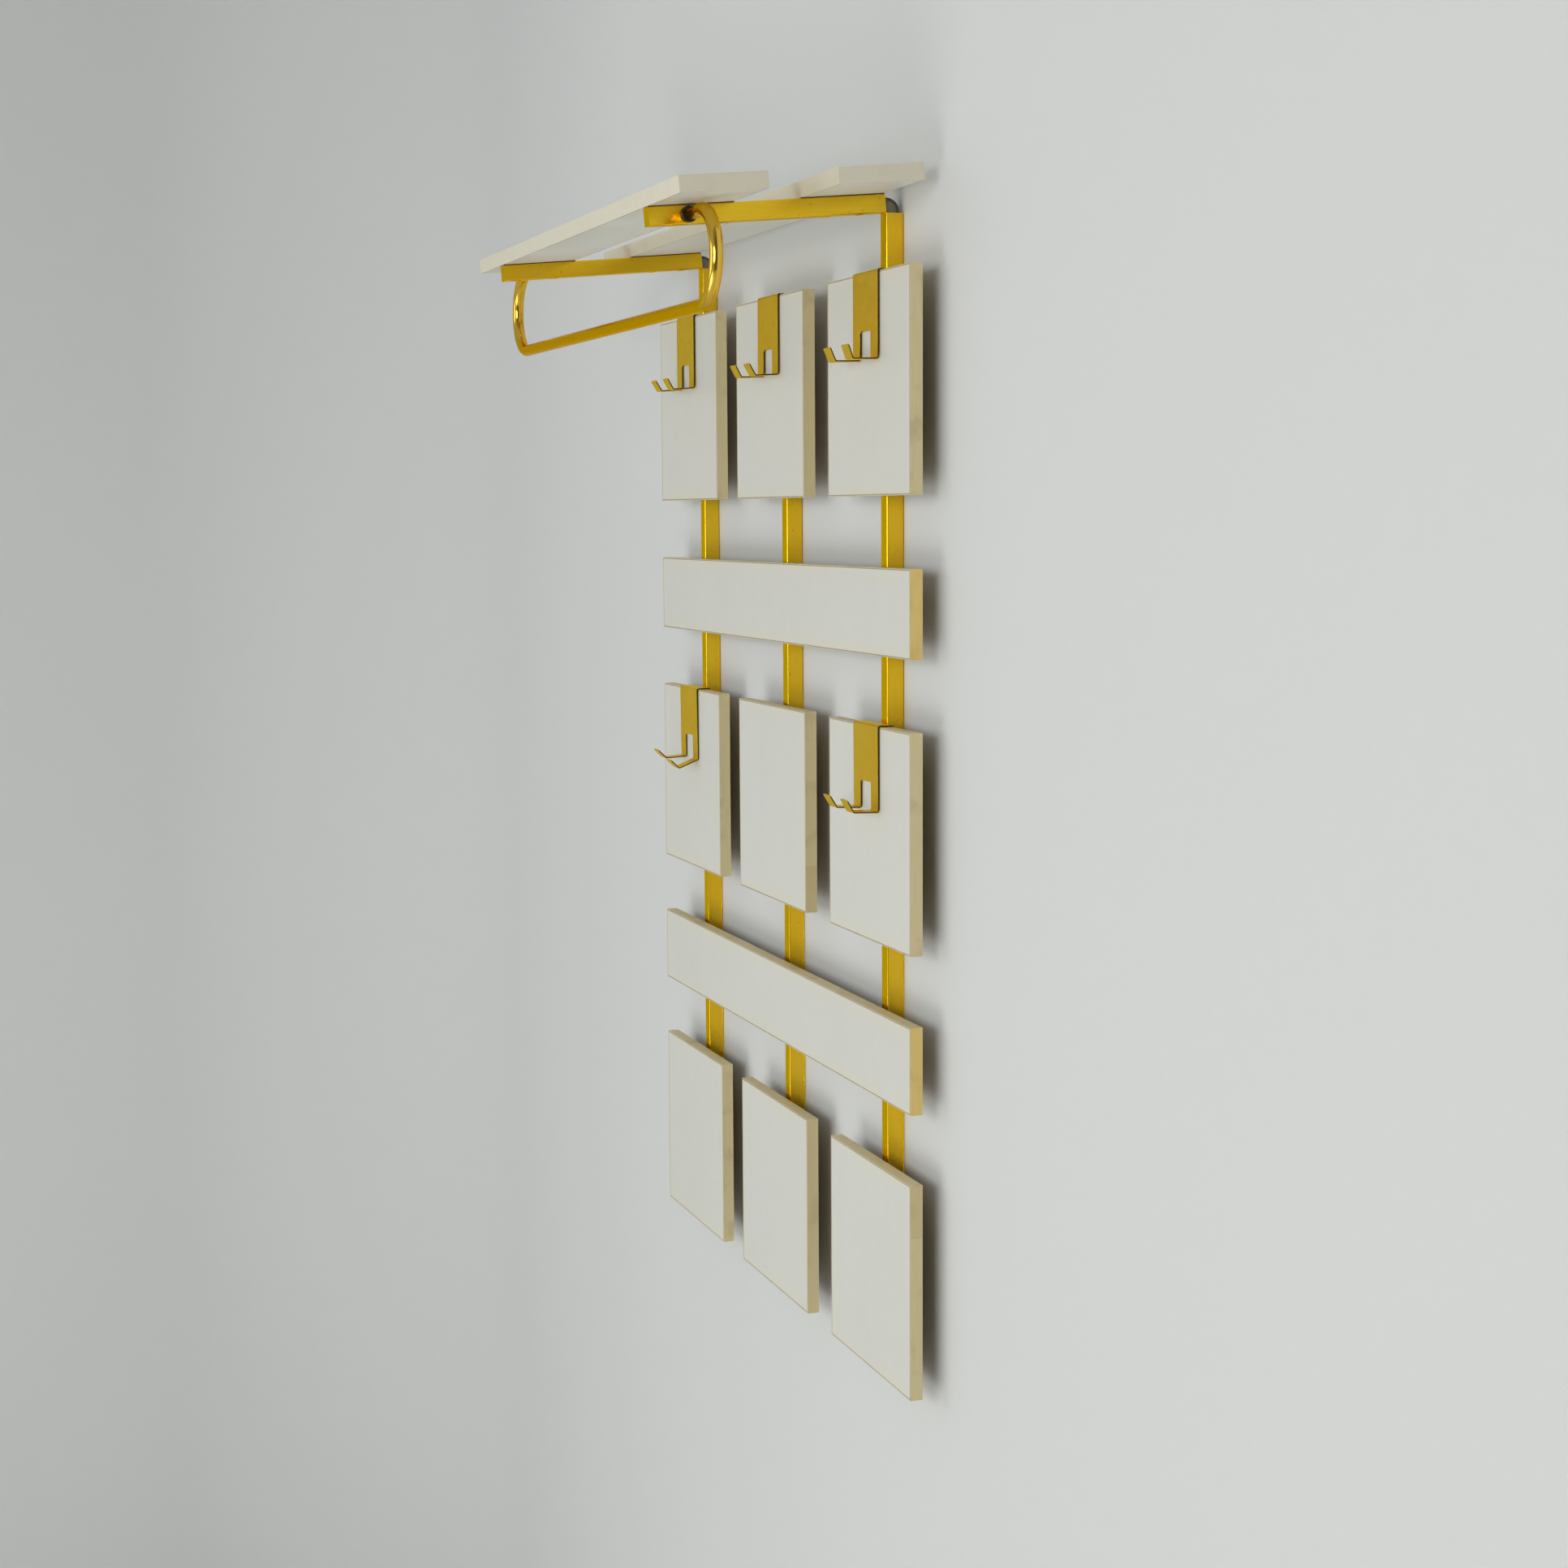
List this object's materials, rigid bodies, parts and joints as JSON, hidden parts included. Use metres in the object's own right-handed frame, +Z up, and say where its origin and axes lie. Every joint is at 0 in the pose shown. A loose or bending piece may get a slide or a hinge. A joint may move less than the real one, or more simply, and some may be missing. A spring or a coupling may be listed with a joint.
{
  "type": "wall coat rack",
  "caption": "Wall coat rack with square panels and wide boards on gold rails, a slatted hat shelf on drooping arms, a swinging hanging bar and slip-on hooks.",
  "frame": {"origin": "middle of the upper line of wall screws, on the wall plane behind the rails", "axes": "+X right along the wall, +Y into the wall, +Z up"},
  "size_m": [1.1, 0.3629, 1.6558],
  "materials": {
    "gold_profile": "glossy gold lacquer",
    "gold_bar": "polished gold lacquer",
    "gold_hook": "satin gold lacquer",
    "plated_steel": "zinc plated",
    "grey_plastic": "moulded",
    "black_plastic": "moulded",
    "rubber_strip": "matte",
    "cream_board": "cream laminate on particle board",
    "beige_band": "edge banding",
    "tan_band": "edge banding",
    "cream_band": "edge banding"
  },
  "bodies": {
    "frame": {"arm_end_caps": "gold_profile", "arm_left": "gold_profile", "arm_right": "gold_profile", "bar_bushings": "black_plastic", "board_bands_ends": "tan_band", "board_bands_long": "beige_band", "board_lower": "cream_board", "board_upper": "cream_board", "corner_connector_left": "grey_plastic", "corner_connector_right": "grey_plastic", "panel_1_left": "cream_board", "panel_1_middle": "cream_board", "panel_1_right": "cream_board", "panel_2_left": "cream_board", "panel_2_middle": "cream_board", "panel_2_right": "cream_board", "panel_3_left": "cream_board", "panel_3_middle": "cream_board", "panel_3_right": "cream_board", "panel_bands_row_1": "beige_band", "panel_bands_row_2": "beige_band", "panel_bands_row_3": "beige_band", "panel_studs_left": "plated_steel", "panel_studs_middle": "plated_steel", "panel_studs_right": "plated_steel", "rail_end_plugs": "black_plastic", "rail_left": "gold_profile", "rail_middle": "gold_profile", "rail_right": "gold_profile", "rivet_nuts_left": "plated_steel", "rivet_nuts_middle": "plated_steel", "rivet_nuts_right": "plated_steel", "shelf_bands": "cream_band", "shelf_board_front": "cream_board", "shelf_board_rear": "cream_board", "shelf_screws": "plated_steel", "shelf_strips": "rubber_strip"},
    "bar": {"bar_tube": "gold_bar", "bar_end_plugs": "plated_steel"},
    "hook_1_left": {"hook_1_left": "gold_hook"},
    "hook_1_middle": {"hook_1_middle": "gold_hook"},
    "hook_1_right": {"hook_1_right": "gold_hook"},
    "hook_2_left": {"hook_2_left": "gold_hook"},
    "hook_2_right": {"hook_2_right": "gold_hook"}
  },
  "joints": [
    {"name": "bar_swing", "type": "hinge", "parent": "frame", "child": "bar", "pos_m": [0, -0.30502, 0.21805], "axis": [1, 0, 0], "range_deg": [-80, 80]},
    {"name": "hook_1_left_slide", "type": "slide", "parent": "frame", "child": "hook_1_left", "axis": [1, 0, 0], "range_m": [-0.099, 0.101]},
    {"name": "hook_1_middle_slide", "type": "slide", "parent": "frame", "child": "hook_1_middle", "axis": [1, 0, 0], "range_m": [-0.107, 0.093]},
    {"name": "hook_1_right_slide", "type": "slide", "parent": "frame", "child": "hook_1_right", "axis": [1, 0, 0], "range_m": [-0.102, 0.098]},
    {"name": "hook_2_left_slide", "type": "slide", "parent": "frame", "child": "hook_2_left", "axis": [1, 0, 0], "range_m": [-0.097, 0.103]},
    {"name": "hook_2_right_slide", "type": "slide", "parent": "frame", "child": "hook_2_right", "axis": [1, 0, 0], "range_m": [-0.099, 0.101]}
  ]
}
